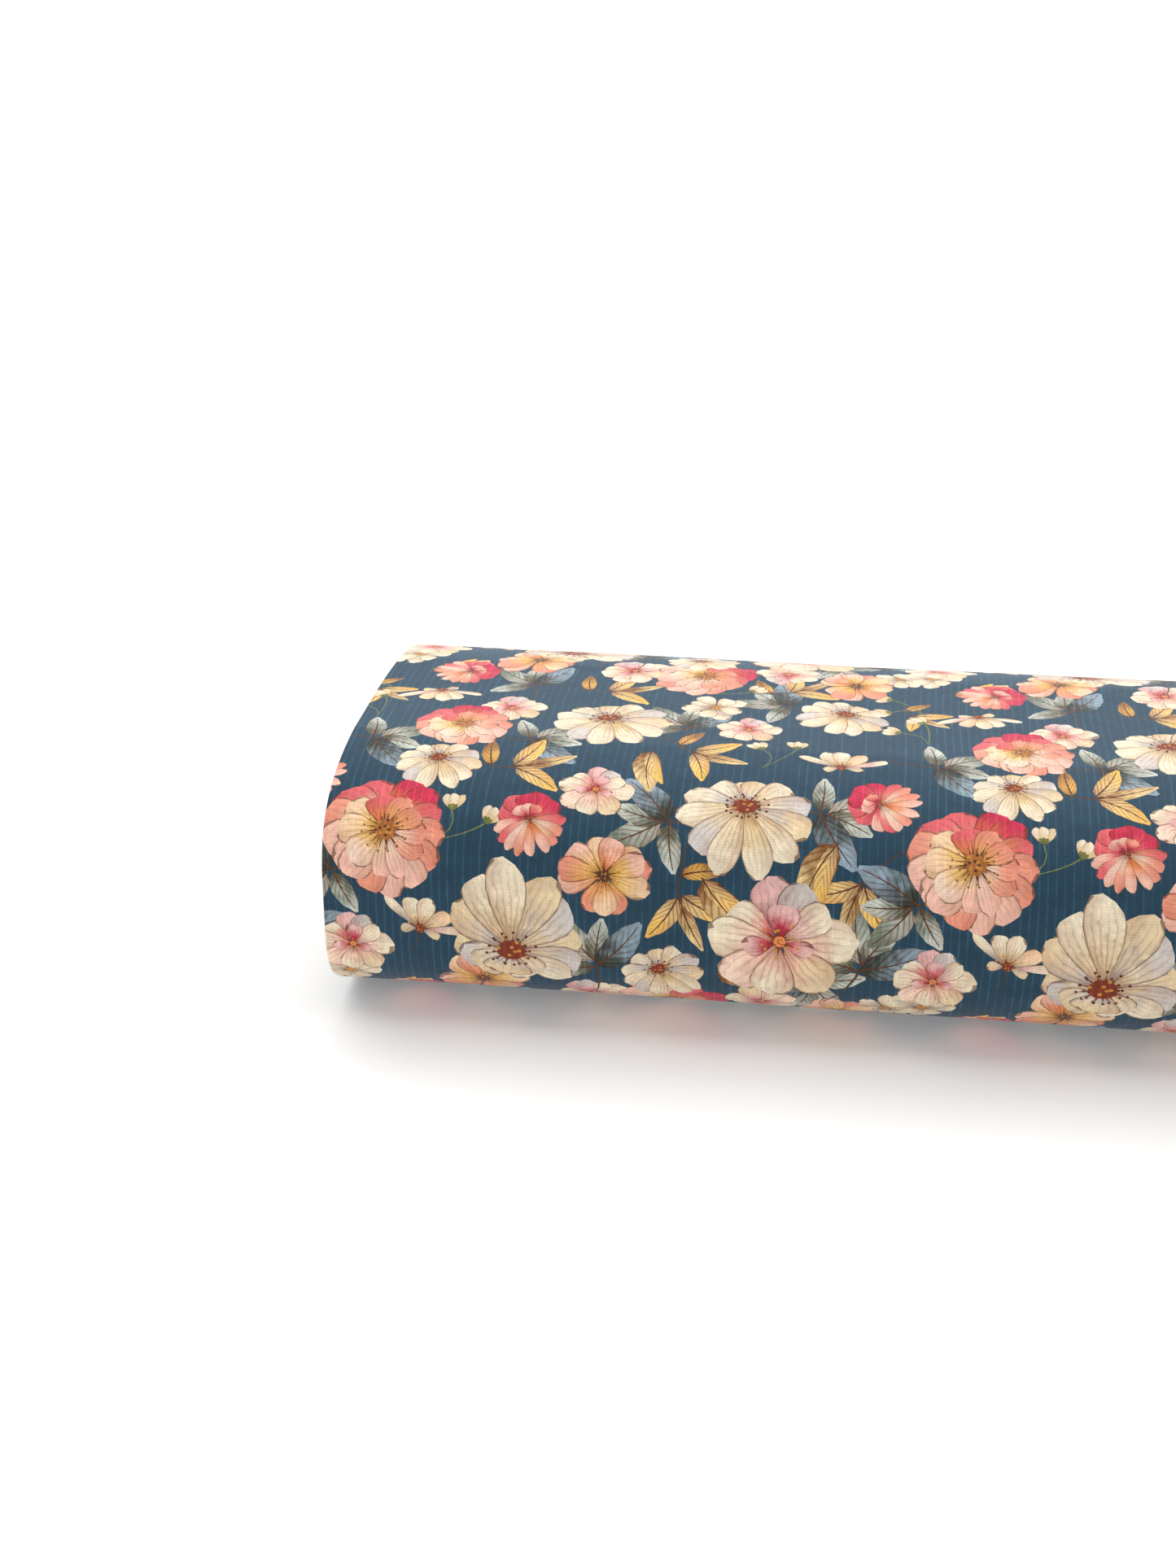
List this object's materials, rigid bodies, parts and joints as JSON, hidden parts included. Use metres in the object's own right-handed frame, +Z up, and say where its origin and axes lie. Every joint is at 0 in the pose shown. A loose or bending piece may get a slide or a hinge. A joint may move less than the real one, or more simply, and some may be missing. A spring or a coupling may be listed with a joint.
{
  "type": "fabric bolt",
  "caption": "Flat bolt of printed rib-knit cloth, folded double and wound on a hollow cardboard board, with a liftable loose end and a hinged, labelled flap at each end of the board.",
  "frame": {"origin": "under the middle of the bolt, on the surface it lies on", "axes": "+X along the board towards its right end, -Y towards the front face, +Z up; the loose end of the cloth hangs on the +Y face"},
  "size_m": [0.7768, 0.2799, 0.136],
  "materials": {
    "printed_knit": "matt rib knit with a printed floral pattern",
    "card": "plain brown card",
    "label_paper": "blank off-white paper"
  },
  "bodies": {
    "bolt": {"cloth_outer_turns": "printed_knit", "cloth_inner_turns": "printed_knit", "board_sleeve": "card", "board_rib_front": "card", "board_rib_back": "card"},
    "tail": {"cloth_tail": "printed_knit"},
    "left_flap": {"end_flap_left": "card", "end_label_left": "label_paper"},
    "right_flap": {"end_flap_right": "card", "end_label_right": "label_paper"}
  },
  "joints": [
    {"name": "tail_lift", "type": "hinge", "parent": "bolt", "child": "tail", "pos_m": [0, 0.08079, 0.13273], "axis": [1, 0, 0], "range_deg": [0, 100]},
    {"name": "left_flap_hinge", "type": "hinge", "parent": "bolt", "child": "left_flap", "pos_m": [-0.3862, 0, 0.0775], "axis": [0, 1, 0], "range_deg": [0, 110]},
    {"name": "right_flap_hinge", "type": "hinge", "parent": "bolt", "child": "right_flap", "pos_m": [0.3862, 0, 0.0775], "axis": [0, -1, 0], "range_deg": [0, 110]}
  ]
}
